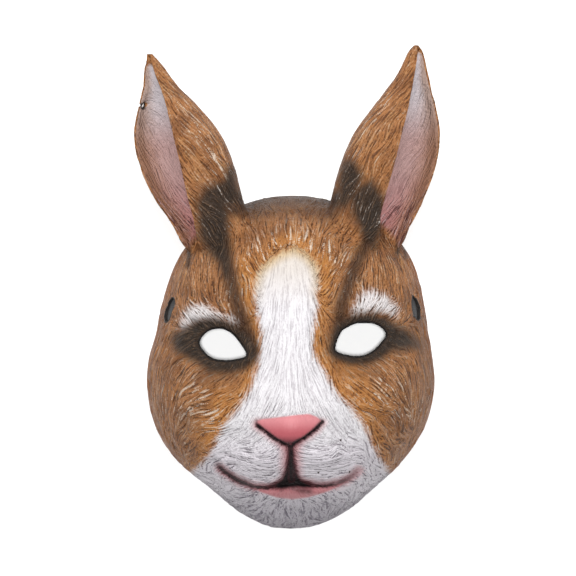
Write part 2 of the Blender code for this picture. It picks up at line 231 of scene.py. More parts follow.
def bent_grid(name, columns, rows, place, skirt=0.0):
    """Add a grid and bend it to a form, merge what meets and close what is open."""
    bpy.ops.object.select_all(action="DESELECT")
    bpy.ops.mesh.primitive_grid_add(x_subdivisions=columns, y_subdivisions=rows, size=2)
    piece = bpy.context.object
    piece.name = piece.data.name = name
    spots = np.empty(len(piece.data.vertices) * 3)
    piece.data.vertices.foreach_get("co", spots)
    spots = spots.reshape(-1, 3)
    column = np.rint((spots[:, 0] + 1) / 2 * columns)
    row = np.rint((spots[:, 1] + 1) / 2 * rows)
    spots[:] = np.stack(place(column, row), axis=1)
    piece.data.vertices.foreach_set("co", spots.ravel())
    bpy.ops.object.mode_set(mode="EDIT")
    bpy.ops.mesh.select_mode(type="VERT")
    bpy.ops.mesh.select_all(action="SELECT")
    bpy.ops.mesh.remove_doubles(threshold=1e-6)
    bpy.ops.mesh.select_all(action="DESELECT")
    bpy.ops.mesh.select_non_manifold(extend=False)
    if skirt:
        bpy.ops.mesh.extrude_region_move(TRANSFORM_OT_translate={"value": (0, 0, -skirt)})
        bpy.ops.mesh.edge_face_add()
    else:
        bpy.ops.mesh.fill_holes(sides=0)
    bpy.ops.mesh.select_all(action="SELECT")
    bpy.ops.mesh.normals_make_consistent(inside=False)
    bpy.ops.object.mode_set(mode="OBJECT")
    return piece


def face_block(name, columns, rows, inset, skirt):
    """The dome of the face, closed below its rim."""
    def place(column, row):
        level = (1 - np.cos(math.pi * row / rows)) / 2 * 0.35 + row / rows * 0.65
        share = np.sin((column / columns - 0.5) * math.pi) * 0.5 + (column / columns - 0.5)
        return face_places(np.clip(share, -1, 1), np.clip(level, 0, 1), inset)
    return bent_grid(name, columns, rows, place, skirt)


def ear_block(name, ear, root, length, inward):
    """One ear: a sheet between its outer and inner curve, with closed ends."""
    ring = 2 * (EAR_COLUMNS + 1)

    def place(column, row):
        column = column % ring
        back = column > EAR_COLUMNS
        step = np.where(back, ring - 1 - column, column) / EAR_COLUMNS
        up = ear[0][0] + (ear[-1][0] - ear[0][0]) * row / EAR_ROWS
        front = np.radians(along_table(ear, up)[2])
        angle = front + (math.radians(EAR_REAR_EDGE) - front) * step
        return ear_places(ear, root, length, inward, up, angle, np.where(back, 1.0, 0.0))
    return bent_grid(name, ring, EAR_ROWS, place)


def finish_modifiers(piece):
    """Apply a piece's modifiers in their order."""
    bpy.ops.object.select_all(action="DESELECT")
    piece.select_set(True)
    bpy.context.view_layer.objects.active = piece
    for modifier in list(piece.modifiers):
        bpy.ops.object.modifier_apply(modifier=modifier.name)


def cut_away(piece, cutter):
    """Cut a closed form out of a piece."""
    change = piece.modifiers.new(cutter.name, "BOOLEAN")
    change.operation = "DIFFERENCE"
    change.solver = "MANIFOLD"
    change.object = cutter
    finish_modifiers(piece)
    bpy.data.objects.remove(cutter)


def weight_group(piece, name, weights):
    """A vertex group with a weight for each vertex."""
    group = piece.vertex_groups.new(name=name)
    levels = np.rint(np.clip(weights, 0, 1) * WEIGHT_LEVELS).astype(int)
    for level in range(1, WEIGHT_LEVELS + 1):
        group.add(np.nonzero(levels == level)[0].tolist(), level / WEIGHT_LEVELS, "REPLACE")


def surface_tree(piece):
    """A search tree of a form's surface."""
    return BVHTree.FromObject(piece, bpy.context.evaluated_depsgraph_get())


def spots_of(piece):
    """The piece's vertices and their normals as arrays, in millimetres."""
    count = len(piece.data.vertices)
    spots, normals = np.empty(count * 3), np.empty(count * 3)
    piece.data.vertices.foreach_get("co", spots)
    piece.data.vertex_normals.foreach_get("vector", normals)
    return spots.reshape(-1, 3) * 1000, normals.reshape(-1, 3)


def distance_to(tree, spots):
    """Distance in millimetres from each vertex to another form's surface."""
    return np.array([tree.find_nearest(spot / 1000)[3] for spot in spots]) * 1000


def distance_to_ears(trees, spots):
    """Distance in millimetres from each vertex to the nearer ear's sheet."""
    gap = np.full(len(spots), FAR)
    near = spots[:, 1] > EARS_FROM
    for tree in trees:
        gap[near] = np.minimum(gap[near], distance_to(tree, spots[near]))
    return gap


def share_of_ear(face_gap, ear_gap):
    """1 on the ears, 0 on the face and a smooth change at the ear roots."""
    return smooth_step(1, 6, face_gap) * (1 - smooth_step(4, 9, ear_gap))


EARS = (
    ("left_ear", LEFT_EAR, LEFT_EAR_AT, LEFT_EAR_LENGTH, 1),
    ("right_ear", RIGHT_EAR, RIGHT_EAR_AT, RIGHT_EAR_LENGTH, -1),
)
mask = face_block("rabbit_mask", FACE_COLUMNS, FACE_ROWS, 0.0, SKIRT)
ear_forms = [ear_block(*row) for row in EARS]
face_tree = surface_tree(mask)
ear_trees = [surface_tree(form) for form in ear_forms]
bpy.ops.object.select_all(action="DESELECT")
for form in [mask] + ear_forms:
    form.select_set(True)
bpy.context.view_layer.objects.active = mask
bpy.ops.object.join()
remesh = mask.modifiers.new("one casting", "REMESH")
remesh.mode = "VOXEL"
remesh.voxel_size = SKIN_VOXEL
finish_modifiers(mask)
spots, normals = spots_of(mask)
face_gap = distance_to(face_tree, spots)
ear_gap = distance_to_ears(ear_trees, spots)
weight_group(mask, "ear_roots", np.exp(-(face_gap**2 + ear_gap**2) / ROOT_FILLET**2))
blend = mask.modifiers.new("ear roots", "SMOOTH")
blend.vertex_group = "ear_roots"
blend.iterations = ROOT_PASSES
evened = mask.modifiers.new("even skin", "SMOOTH")
evened.iterations = SKIN_PASSES
finish_modifiers(mask)
mask.vertex_groups.clear()

# Mask shell, sculpture: the nose pad, nostrils, lips, eye rims and the fur are modelled into
# the clay before the mould is made. The fur follows flow lines from the nose outwards.
# All tables are in millimetres across from the middle line and up from the chin.
NOSE = (
    (-22.8, 77.7), (-17.1, 78.4), (-6.6, 79.8), (3.8, 81.2), (12.9, 81.9), (17.8, 79.8),
    (21.3, 77.0), (16.4, 71.4), (10.1, 66.5), (3.8, 62.3), (0.0, 60.9), (-4.5, 61.6),
    (-10.8, 65.8), (-17.1, 70.7), (-22.8, 74.2),
)
NOSTRILS = (
    ((-23.4, 74.2), (-17.1, 69.3), (-10.1, 64.4), (-3.8, 60.9), (0.0, 59.8)),
    ((22.0, 76.3), (16.4, 70.7), (10.1, 65.8), (3.5, 62.3), (0.0, 59.8)),
)
PHILTRUM = ((0.0, 60.5), (0.2, 47.6), (0.7, 36.4))
MOUTH_LINE = (
    (-49.3, 44.1), (-45.1, 40.6), (-36.8, 35.0), (-25.5, 30.8), (-15.0, 30.1), (-6.6, 33.6),
    (0.3, 34.3), (10.1, 33.6), (18.5, 31.5), (25.5, 31.5), (34.6, 33.6), (41.6, 37.1),
    (47.2, 42.0),
)
PARTING = (
    (-14.0, 31.2), (-9.5, 33.0), (-6.3, 35.2), (-4.2, 38.2), (-2.6, 42.5), (-1.7, 47.0),
    (0.2, 49.5), (2.1, 47.0), (3.0, 42.5), (4.6, 38.2), (7.0, 35.2), (10.5, 33.2),
    (15.5, 31.6), (9.5, 31.0), (4.5, 31.8), (-0.3, 31.2), (-6.6, 30.0),
)
LOWER_LIP = (
    (-28.3, 30.8), (-19.9, 26.6), (-10.1, 23.1), (1.0, 21.7), (12.2, 23.1), (24.1, 26.6),
    (34.6, 31.5), (41.6, 36.4), (34.6, 33.6), (25.5, 31.5), (18.5, 30.8), (10.1, 32.2),
    (2.4, 32.2), (-6.6, 31.5), (-15.7, 29.4),
)
#   across, up, direction of the fur in degrees
FLOW = (
    (0, 182, -90), (-2, 154, -92), (0, 126, -90), (0, 98, -90), (-13, 92, -112),
    (19, 94, -66), (0, 220, 90), (-20, 223, 105), (21, 221, 75), (-35, 214, 115),
    (38, 216, 65), (-35, 196, 105), (28, 196, 80), (42, 189, 65), (-63, 182, 95),
    (-74, 168, 92), (-53, 168, 100), (66, 182, 85), (73, 168, 88), (52, 172, 80),
    (-70, 153, 150), (-60, 155, 125), (-48, 152, 105), (-39, 147, 90), (49, 159, 80),
    (59, 162, 60), (71, 157, 35), (-28, 136, -100), (-28, 112, -115), (28, 133, -80),
    (30, 112, -62), (-53, 111, -160), (52, 113, -20), (-74, 126, -170), (-88, 126, -120),
    (77, 126, -10), (89, 126, -60), (-63, 91, -150), (-46, 91, -140), (-77, 77, -130),
    (-88, 98, -110), (-63, 63, -140), (66, 91, -30), (45, 94, -42), (80, 80, -50),
    (91, 102, -68), (66, 63, -40), (-35, 56, 175), (-25, 42, 190), (-42, 63, -150),
    (28, 56, 5), (38, 63, -25), (17, 42, -5), (-32, 77, -130), (35, 80, -48),
    (0, 14, -90), (-25, 18, -110), (24, 18, -70), (-46, 28, -130), (49, 29, -50),
    (-60, 35, -140), (61, 36, -40), (-95, 77, -100), (98, 77, -80), (-98, 105, -95),
    (100, 105, -85), (-88, 52, -120), (91, 52, -60),
)
#   direction of the fur on the left and right ear, in degrees
EAR_FUR = (127, 55)
FLOW_POWER = -1.6
FLOW_SOFTNESS = 12
HOLLOW_SKIRT = 0.006
NOISE_TABLE = 4096
NOISE_STEPS = (73856093, 19349663, 83492791)
#   noise cell, seed of the waves in the flow
WAVES = ((14, 3), (6, 4))
WAVE_SIZE = 0.35
NOSE_RISE = 2.6
LIP_RISE = 1.4
PARTING_DEPTH = 2.0
#   rise, half width and distance from the line
NOSTRIL_GROOVE = (-1.8, 1.6, 0.0)
PHILTRUM_GROOVE = (-2.4, 1.7, 0.0)
MOUTH_GROOVE = (-1.4, 1.4, 0.0)
EYE_RIM = (0.9, 1.8, 3.0)
EYE_DENT = (-0.6, 2.0, 6.8)
#   noise cell, length along the flow and seed
LOCKS = (4.5, 16, 21)
HAIRS = (2.2, 9, 22)
LOCK_RISE = 0.55
HAIR_RISE = 0.3
HAIR_CUT = 0.6
THINNEST = 0.9
EYE_WIDTH = 0.034
EYE_HEIGHT = 0.0225
EYE_STEPS = 8
LEFT_EYE_AT = (-0.233, 0.555)
RIGHT_EYE_AT = (0.241, 0.570)
#   across, up, as shares of the eye's width and height
LEFT_EYE = (
    (0.477, -0.327), (0.346, 0.047), (0.160, 0.358), (-0.066, 0.483), (-0.313, 0.389),
    (-0.477, 0.078), (-0.374, -0.234), (-0.189, -0.436), (0.058, -0.483), (0.263, -0.452),
)
RIGHT_EYE = (
    (-0.514, -0.315), (-0.410, 0.200), (-0.267, 0.374), (-0.062, 0.500), (0.165, 0.510),
    (0.385, 0.402), (0.514, 0.178), (0.453, -0.034), (0.267, -0.330), (0.041, -0.495),
    (-0.247, -0.486),
)


def line_distance(across, up, line, closed=False):
    """Distance from places on the face to a line through points."""
    points = np.array(line, dtype=float)
    ends = np.roll(points, -1, axis=0) if closed else points[1:]
    starts = points if closed else points[:-1]
    nearest = np.full(len(across), 1e9)
    for start, end in zip(starts, ends):
        run = end - start
        part = ((across - start[0]) * run[0] + (up - start[1]) * run[1]) / (run @ run)
        part = np.clip(part, 0, 1)
        gap = np.hypot(across - start[0] - part * run[0], up - start[1] - part * run[1])
        nearest = np.minimum(nearest, gap)
    return nearest


def depth_inside(across, up, outline):
    """Distance to an outline: more than 0 inside it, less outside."""
    inside = np.zeros(len(across), dtype=bool)
    points = np.array(outline, dtype=float)
    for start, end in zip(points, np.roll(points, -1, axis=0)):
        crosses = (start[1] > up) != (end[1] > up)
        rise = end[1] - start[1] if end[1] != start[1] else 1e-9
        at = start[0] + (up - start[1]) / rise * (end[0] - start[0])
        inside ^= crosses & (across < at)
    return line_distance(across, up, outline, closed=True) * np.where(inside, 1, -1)


def eye_outline(table, at):
    """Points round an eye hole, in millimetres, on a smooth curve through the table."""
    outline = []
    points = np.array(table)
    for index in range(len(points)):
        p0, p1, p2, p3 = (points[(index + shift) % len(points)] for shift in (-1, 0, 1, 2))
        for step in range(EYE_STEPS):
            t = step / EYE_STEPS
            bend = (2 * p0 - 5 * p1 + 4 * p2 - p3) * t * t + (3 * p1 - p0 - 3 * p2 + p3) * t**3
            spot = (2 * p1 + (p2 - p0) * t + bend) / 2
            across = at[0] * FACE_WIDTH + spot[0] * EYE_WIDTH
            outline.append((across * 1000, (at[1] * FACE_HEIGHT + spot[1] * EYE_HEIGHT) * 1000))
    return outline


def lattice_noise(spots, cell, seed):
    """Smooth noise from -1 to 1 over points in millimetres, with one bump to a cell."""
    values = np.random.default_rng(seed).uniform(-1, 1, NOISE_TABLE)
    places = spots / cell + 500
    base = np.floor(places).astype(np.int64)
    part = places - base
    part = part * part * (3 - 2 * part)
    total = np.zeros(len(spots))
    for corner in range(8):
        dx, dy, dz = corner & 1, corner >> 1 & 1, corner >> 2 & 1
        key = ((base[:, 0] + dx) * NOISE_STEPS[0]) ^ ((base[:, 1] + dy) * NOISE_STEPS[1])
        key ^= (base[:, 2] + dz) * NOISE_STEPS[2]
        weight = np.where(dx, part[:, 0], 1 - part[:, 0])
        weight = weight * np.where(dy, part[:, 1], 1 - part[:, 1])
        weight = weight * np.where(dz, part[:, 2], 1 - part[:, 2])
        total += values[key & (NOISE_TABLE - 1)] * weight
    return total


def combed_noise(spots, flow, cell, length, seed, samples=7):
    """Noise drawn out along the flow of the fur, as locks of hair are."""
    total = np.zeros(len(spots))
    for step in np.linspace(-length / 2, length / 2, samples):
        total += lattice_noise(spots + flow * step, cell, seed)
    return total / samples * math.sqrt(samples) * 0.75


def flow_directions(across, up):
    """Direction of the fur in radians at places on the face, between the guides."""
    guides = np.radians(np.array(FLOW, dtype=float)[:, 2])
    x, y = np.zeros(len(across)), np.zeros(len(across))
    for (at_across, at_up, _), angle in zip(FLOW, guides):
        away = (across - at_across) ** 2 + (up - at_up) ** 2
        weight = (away + FLOW_SOFTNESS) ** FLOW_POWER
        x += weight * math.cos(angle)
        y += weight * math.sin(angle)
    return np.arctan2(y, x)


def fur_flow(spots, normals, on_ear):
    """Direction of the fur on the surface at each vertex."""
    calm = smooth_step(16, 34, np.abs(spots[:, 0])) * 0.7 + 0.3
    wave = sum(lattice_noise(spots, *row) * WAVE_SIZE for row in WAVES) * calm
    angle = flow_directions(spots[:, 0], spots[:, 1]) + wave
    rise = np.radians(np.where(spots[:, 0] < 0, *EAR_FUR))
    x = np.cos(angle) * (1 - on_ear) + np.cos(rise + wave) * on_ear
    y = np.sin(angle) * (1 - on_ear) + np.sin(rise + wave) * on_ear
    flow = np.stack([x, y, np.zeros(len(x))], axis=1)
    flow -= normals * (flow * normals).sum(axis=1)[:, None]
    return flow / np.maximum(np.linalg.norm(flow, axis=1), 0.05)[:, None]


def ridge(distance, rise, half_width, middle):
    """A smooth ridge along a line, or a groove where the rise is below 0."""
    return rise * bell((distance - middle) / half_width)


EYES = (eye_outline(LEFT_EYE, LEFT_EYE_AT), eye_outline(RIGHT_EYE, RIGHT_EYE_AT))
hollow = face_block("hollow", HOLLOW_COLUMNS, HOLLOW_ROWS, WALL, HOLLOW_SKIRT)
hollow_tree = surface_tree(hollow)
spots, normals = spots_of(mask)
across, up = spots[:, 0], spots[:, 1]
front = smooth_step(0.1, 0.5, normals[:, 2]) * smooth_step(2, 12, spots[:, 2])
on_ear = share_of_ear(face_gap, ear_gap)
nose = depth_inside(across, up, NOSE)
nostril = np.minimum(*(line_distance(across, up, line) for line in NOSTRILS))
philtrum = line_distance(across, up, PHILTRUM)
parting = depth_inside(across, up, PARTING)
mouth = line_distance(across, up, MOUTH_LINE)
lip = depth_inside(across, up, LOWER_LIP)
eye_gap = np.minimum(*(-depth_inside(across, up, outline) for outline in EYES))
bare = smooth_step(-1.5, 0.5, nose)
bare = np.maximum(bare, 1 - smooth_step(1.5, 3.5, eye_gap))
bare = np.maximum(bare, smooth_step(-1.5, 0.5, np.maximum(lip, parting)))
bare = np.maximum(bare, 1 - smooth_step(1.0, 2.5, np.minimum(nostril, philtrum)))
lift = NOSE_RISE * smooth_step(-1.5, 2.5, nose)
lift += ridge(nostril, *NOSTRIL_GROOVE) + ridge(philtrum, *PHILTRUM_GROOVE)
lift += ridge(mouth, *MOUTH_GROOVE) + LIP_RISE * smooth_step(-1.0, 3.0, lip)
lift -= PARTING_DEPTH * smooth_step(-1.0, 1.5, parting)
lift += ridge(eye_gap, *EYE_RIM) + ridge(eye_gap, *EYE_DENT)
lift *= front * (1 - on_ear)
flow = fur_flow(spots, normals, on_ear)
locks = combed_noise(spots, flow, *LOCKS)
hairs = combed_noise(spots, flow, *HAIRS)
fur = LOCK_RISE * np.clip(locks, -1, 1) + HAIR_RISE * hairs
fur -= HAIR_CUT * smooth_step(0.2, 0.8, -hairs)
furry = np.clip(1 - 0.85 * bare - 0.45 * on_ear, 0, 1)
lift += fur * furry * smooth_step(0.5, 4, spots[:, 2])
room = np.where(face_gap < 4, distance_to(hollow_tree, spots), FAR)
lift = np.maximum(lift, THINNEST - np.maximum(room, THINNEST))
spots += normals * lift[:, None]
mask.data.vertices.foreach_set("co", (spots / 1000).astype(np.float32).ravel())
mask.data.update()

# Mask shell, openings: the hollow behind the face, the eye holes, the strap slots in the side
# walls, the small hang hole of the left ear, and the flat trimmed rim.
SLOT_LENGTH = 0.017
SLOT_WIDTH = 0.013
SLOT_LEAN = 12
SLOT_REACH = 0.024
SLOT_RISE = 0.380
SLOTS = (("left_slot", -1, 0.657), ("right_slot", 1, 0.663))
EAR_HOLE_RADIUS = 0.0024
EAR_HOLE_UP = 0.735
EAR_HOLE_ANGLE = 151
EAR_HOLE_REACH = 0.012
TRIM_SIZE = 0.6
TRIM_DEPTH = 0.1

cut_away(mask, hollow)
bpy.ops.mesh.primitive_cube_add(
    size=1,
    location=(0, TRIM_SIZE / 4, -TRIM_DEPTH / 2),
    scale=(TRIM_SIZE, TRIM_SIZE, TRIM_DEPTH),
)
cut_away(mask, bpy.context.object)
for name, outline in zip(("left_eye_hole", "right_eye_hole"), EYES):
    bpy.ops.object.select_all(action="DESELECT")
    bpy.ops.mesh.primitive_circle_add(vertices=len(outline), radius=1, fill_type="NGON")
    cutter = bpy.context.object
    cutter.name = name
    for vertex, (x, y) in zip(cutter.data.vertices, outline):
        vertex.co = (x / 1000, y / 1000, 0)
    bpy.ops.object.mode_set(mode="EDIT")
    bpy.ops.mesh.select_all(action="SELECT")
    bpy.ops.mesh.extrude_region_move(TRANSFORM_OT_translate={"value": (0, 0, 2 * FACE_DEPTH)})
    bpy.ops.mesh.select_all(action="SELECT")
    bpy.ops.mesh.normals_make_consistent(inside=False)
    bpy.ops.object.mode_set(mode="OBJECT")
    cut_away(mask, cutter)
turn = math.radians(SLOT_LEAN)
for name, side, up_share in SLOTS:
    height = SLOT_RISE * FACE_DEPTH
    slot_up = up_share * FACE_HEIGHT
    level = 0.5 + (slot_up - FACE_HEIGHT / 2) / (FACE_HEIGHT - 2 * WALL)
    reach, depth, fullness = (value[0] for value in section(np.array([level]), side, WALL))
    wall = side * reach * (1 - (height / depth) ** 2) ** (1 / fullness)
    bpy.ops.object.select_all(action="DESELECT")
    bpy.ops.mesh.primitive_cylinder_add(
        vertices=48,
        radius=0.5,
        depth=2 * SLOT_REACH,
        location=(wall, slot_up, height),
        rotation=(0, math.pi / 2, 0),
    )
    cutter = bpy.context.object
    cutter.name = name
    cutter.scale = (SLOT_WIDTH, SLOT_LENGTH, 1)
    bpy.ops.object.transform_apply()
    for vertex in cutter.data.vertices:
        run, climb = vertex.co.y - slot_up, vertex.co.z - height
        vertex.co.y = slot_up + run * math.cos(turn) - climb * math.sin(turn)
        vertex.co.z = height + run * math.sin(turn) + climb * math.cos(turn)
    cut_away(mask, cutter)
hole_at = ear_places(
    LEFT_EAR,
    LEFT_EAR_AT,
    LEFT_EAR_LENGTH,
    1,
    np.array([EAR_HOLE_UP]),
    np.array([math.radians(EAR_HOLE_ANGLE)]),
    0.5,
)
bpy.ops.object.select_all(action="DESELECT")
bpy.ops.mesh.primitive_cylinder_add(
    vertices=32,
    radius=EAR_HOLE_RADIUS,
    depth=EAR_HOLE_REACH,
    location=[float(value[0]) for value in hole_at],
    rotation=(0, math.pi / 2, 0),
)
cut_away(mask, bpy.context.object)

# Mask shell, mesh: the finished skin has fewer triangles than the clay had. They stay finest
# on the painted front, and are fewest on the plain wall of the hollow.
MOST_TRIANGLES = 195000
HOLLOW_SKIN = 0.8
bpy.ops.object.select_all(action="DESELECT")
mask.select_set(True)
bpy.context.view_layer.objects.active = mask
triangles = sum(len(face.vertices) - 2 for face in mask.data.polygons)
spots, normals = spots_of(mask)
hollow_gap = distance_to(hollow_tree, spots)
outside = 0.1 + 0.5 * (normals[:, 2] < -0.2)
weight_group(mask, "coarse", np.where(hollow_gap < HOLLOW_SKIN, 1.0, outside))
fewer = mask.modifiers.new("fewer triangles", "DECIMATE")
fewer.ratio = MOST_TRIANGLES / triangles
fewer.vertex_group = "coarse"
fewer.vertex_group_factor = 2.0
fewer.invert_vertex_group = True
finish_modifiers(mask)
mask.vertex_groups.clear()

# Mask shell, paint: where each colour goes is kept with the vertices, as distances in
# millimetres from a painted edge, or as amounts of airbrush from 0 to 1.
WHITE_ZONE = (
    (1.8, 196.7), (-2.4, 195.3), (-9.4, 192.5), (-15.7, 187.6), (-21.3, 182.0), (-24.1, 175.0),
    (-24.8, 168.0), (-24.1, 158.9), (-22.0, 148.4), (-19.9, 137.2), (-19.9, 126.0),
    (-22.8, 114.8), (-27.6, 98.7), (-35.3, 86.8), (-43.0, 77.0), (-50.0, 67.2), (-52.8, 58.8),
    (-57.0, 52.5), (-62.6, 46.2), (-68.9, 39.9), (-84.3, 21.0), (-42.3, -21.0), (41.6, -21.0),
    (80.1, 21.0), (69.6, 39.2), (64.0, 47.6), (60.5, 52.5), (57.0, 58.8), (53.5, 67.9),
    (47.9, 77.7), (40.2, 86.8), (32.5, 94.5), (25.5, 106.4), (19.2, 116.9), (16.4, 121.8),
    (15.0, 133.0), (16.4, 144.9), (18.5, 156.1), (18.5, 166.6), (20.3, 175.0), (18.5, 184.1),
    (12.9, 191.8), (6.6, 195.3),
)
BROWS = (
    (
        (-78.0, 142.1), (-75.9, 151.2), (-69.6, 157.5), (-60.5, 158.2), (-52.1, 154.0),
        (-43.0, 149.8), (-37.4, 144.9), (-47.9, 147.0), (-62.6, 145.6), (-69.6, 141.4),
        (-75.2, 138.6),
    ),
    (
        (42.3, 151.9), (45.8, 161.7), (51.4, 167.3), (58.4, 168.0), (66.8, 163.8),
        (73.1, 158.2), (75.9, 153.3), (73.1, 148.4), (66.1, 151.2), (54.9, 151.9),
        (45.8, 149.8),
    ),
)
WHISKER_DOTS = ((31.1, 78.4), (34.6, 63.7), (19.2, 41.3), (40.9, 41.3), (38.8, 39.2))
DARK_PATCHES = (
    (
        (-57.0, 193.0), (-64.0, 205.5), (-65.5, 227.5), (-59.8, 238.0), (-53.5, 240.8),
        (-46.5, 245.0), (-43.8, 253.4), (-38.8, 254.8), (-37.4, 241.5), (-34.6, 233.8),
        (-38.1, 229.6), (-43.8, 226.8), (-44.1, 210.6), (-43.5, 193.0), (-43.0, 178.0),
        (-46.5, 176.0), (-49.5, 186.0),
    ),
    (
        (32.5, 227.5), (33.2, 245.0), (36.0, 257.6), (41.6, 259.0), (47.9, 253.4),
        (50.0, 245.0), (45.1, 231.0), (38.1, 225.4),
    ),
    (
        (41.6, 233.8), (48.6, 241.5), (57.0, 245.0), (63.3, 234.5), (65.5, 220.5),
        (62.6, 206.5), (57.0, 194.6), (50.0, 206.5), (43.0, 220.5),
    ),
    (
        (-81.5, 129.5), (-80.8, 136.5), (-73.1, 142.8), (-66.1, 146.3), (-56.3, 148.4),
        (-46.5, 146.3), (-36.8, 141.4), (-28.3, 134.4), (-23.4, 127.4), (-24.1, 119.0),
        (-29.7, 112.9), (-40.9, 109.3), (-56.3, 109.6), (-64.8, 116.4), (-74.5, 121.8),
        (-80.1, 125.3),
    ),
    (
        (26.2, 124.6), (27.6, 134.4), (31.8, 142.8), (38.1, 148.4), (47.2, 151.2),
        (57.0, 151.2), (66.8, 148.4), (75.2, 142.8), (83.6, 137.2), (86.4, 129.5),
        (79.4, 126.0), (71.0, 124.6), (62.6, 119.0), (52.8, 115.5), (41.6, 115.5),
        (32.5, 118.3),
    ),
)
#   colour, half width, strength, path of the airbrush
STROKES = (
    ("dark", 3.2, 0.85, ((-66.1, 134.4), (-61.2, 124.6), (-53.5, 118.3), (-43.8, 116.2),
                         (-33.9, 117.6), (-28.3, 123.2))),
    ("dark", 2.5, 0.90, ((-68.9, 138.6), (-60.5, 143.5), (-50.8, 144.9), (-40.9, 142.1),
                         (-33.9, 135.1), (-29.7, 126.0))),
    ("dark", 4.9, 0.70, ((-78.8, 133.0), (-71.8, 127.4), (-66.1, 126.0))),
    ("dark", 5.5, 0.75, ((-26.9, 124.6), (-29.3, 136.5), (-34.5, 148.4), (-38.0, 161.0),
                         (-41.5, 173.6), (-44.3, 187.6), (-47.1, 203.0), (-51.3, 217.0))),
    ("dark", 2.1, 0.90, ((33.2, 129.5), (36.0, 140.0), (44.4, 147.0), (54.2, 147.7),
                         (63.3, 144.9), (69.6, 137.9))),
    ("dark", 2.8, 0.80, ((33.2, 123.9), (41.6, 119.7), (51.4, 120.4), (61.2, 124.6),
                         (68.2, 131.6))),
    ("dark", 4.5, 0.60, ((71.0, 135.8), (79.4, 134.4), (86.4, 129.5))),
    ("dark", 5.0, 0.75, ((31.8, 127.4), (33.2, 140.0), (35.3, 157.5), (40.1, 171.5),
                         (46.8, 187.6), (53.4, 201.6), (57.0, 215.6), (59.8, 227.5))),
    ("dark", 6.5, 0.85, ((-40.0, 228.0), (-28.0, 230.5), (-12.0, 235.5), (0.0, 237.0),
                         (14.0, 235.5), (30.0, 231.0))),
    ("dark", 1.7, 0.80, ((-72.5, 204.0), (-70.7, 192.5), (-72.1, 184.0))),
    ("dark", 1.7, 0.80, ((72.2, 222.5), (75.5, 208.5), (74.6, 192.5))),
    ("dark", 1.5, 0.70, ((81.0, 212.0), (79.5, 201.0), (80.5, 190.0))),
    ("dark", 7.5, 0.50, ((-38.0, 225.0), (-26.0, 222.0), (-13.0, 223.0), (0.0, 226.0),
                         (14.0, 224.0), (28.0, 220.0))),
    ("dark", 5.0, 0.30, ((-64.0, 106.0), (-52.0, 104.0), (-40.0, 107.0))),
    ("dark", 5.0, 0.35, ((33.0, 112.0), (46.0, 109.0), (60.0, 111.0))),
    ("dark", 7.0, 0.30, ((92.0, 150.0), (96.0, 128.0), (97.0, 104.0))),
    ("gold", 4.5, 0.85, ((-31.1, 187.6), (-31.4, 175.0), (-28.3, 163.8))),
    ("gold", 3.9, 0.80, ((23.4, 191.8), (26.2, 178.5), (24.1, 166.6))),
    ("gold", 3.2, 0.70, ((-12.9, 200.2), (-0.3, 204.4), (12.2, 201.6))),
    ("gold", 7.5, 0.75, ((-47.9, 91.6), (-49.1, 79.0), (-57.8, 65.8))),
    ("gold", 8.0, 0.70, ((39.1, 112.6), (47.6, 99.5), (56.0, 85.5))),
    ("ink", 1.5, 0.75, ((2.0, 30.4), (7.5, 28.4), (13.0, 27.8))),
    ("ink", 1.8, 0.55, ((-51.0, 46.0), (-45.5, 41.2), (-39.5, 37.2), (-30.0, 33.2))),
    # Blond tips with painted highlights: pale strokes on the fringe, the cheeks and the ear edges
    ("blond_glint", 7.0, 1.00, ((-38.1, 161.0), (-31.1, 178.5), (-19.9, 196.0), (-0.4, 204.0),
                          (19.3, 199.8), (31.9, 188.6), (38.1, 171.5))),
    ("blond_glint", 11.0, 0.80, ((-84.3, 87.0), (-70.3, 94.5), (-56.8, 84.0), (-49.8, 74.0))),
    ("blond_glint", 13.0, 0.90, ((57.7, 99.5), (70.2, 92.5), (85.7, 86.5))),
    ("blond_glint", 6.0, 0.80, ((-77.3, 294.0), (-59.8, 269.5), (-48.0, 248.5))),
    ("blond_glint", 5.0, 0.60, ((38.2, 259.0), (48.7, 280.0), (66.2, 301.0))),
)
SPRAY_SPREAD = 1.25


def keep(piece, name, values):
    """Keep numbers or vectors with the vertices of a piece."""
    kind = "FLOAT_VECTOR" if values.ndim == 2 else "FLOAT"
    layer = piece.data.attributes.new(name, kind, "POINT")
    field = "vector" if values.ndim == 2 else "value"
    layer.data.foreach_set(field, np.ascontiguousarray(values, dtype=np.float32).ravel())


def airbrushed(kind, across, up):
    """Amount of one airbrushed colour at places on the face."""
    bare = np.ones(len(across))
    for colour, half_width, strength, path in STROKES:
        if colour == kind:
            spray = line_distance(across, up, path) / (SPRAY_SPREAD * half_width)
            bare *= 1 - strength * bell(spray)
    return 1 - bare


def ear_coordinates(spots, ear, root, length, inward):
    """Place along an ear, angle round its curl, and depth below its outer face in mm."""
    up = (spots[:, 1] / 1000 - root[1] * FACE_HEIGHT) / length
    middle, half, _, height = along_table(ear, up)
    half_width, half_depth = half * EAR_WIDTH / 2, half * EAR_CURL_DEPTH / 2
    run = inward * (spots[:, 0] / 1000 - root[0] * FACE_WIDTH - middle * EAR_WIDTH)
    out = height * EAR_STANDOFF - spots[:, 2] / 1000
    reach = np.hypot(run / half_width, out / half_depth)
    below = (1 - reach) * np.hypot(run, out) / np.maximum(reach, 0.1) * 1000
    return up, np.degrees(np.arctan2(out / half_depth, run / half_width)), below


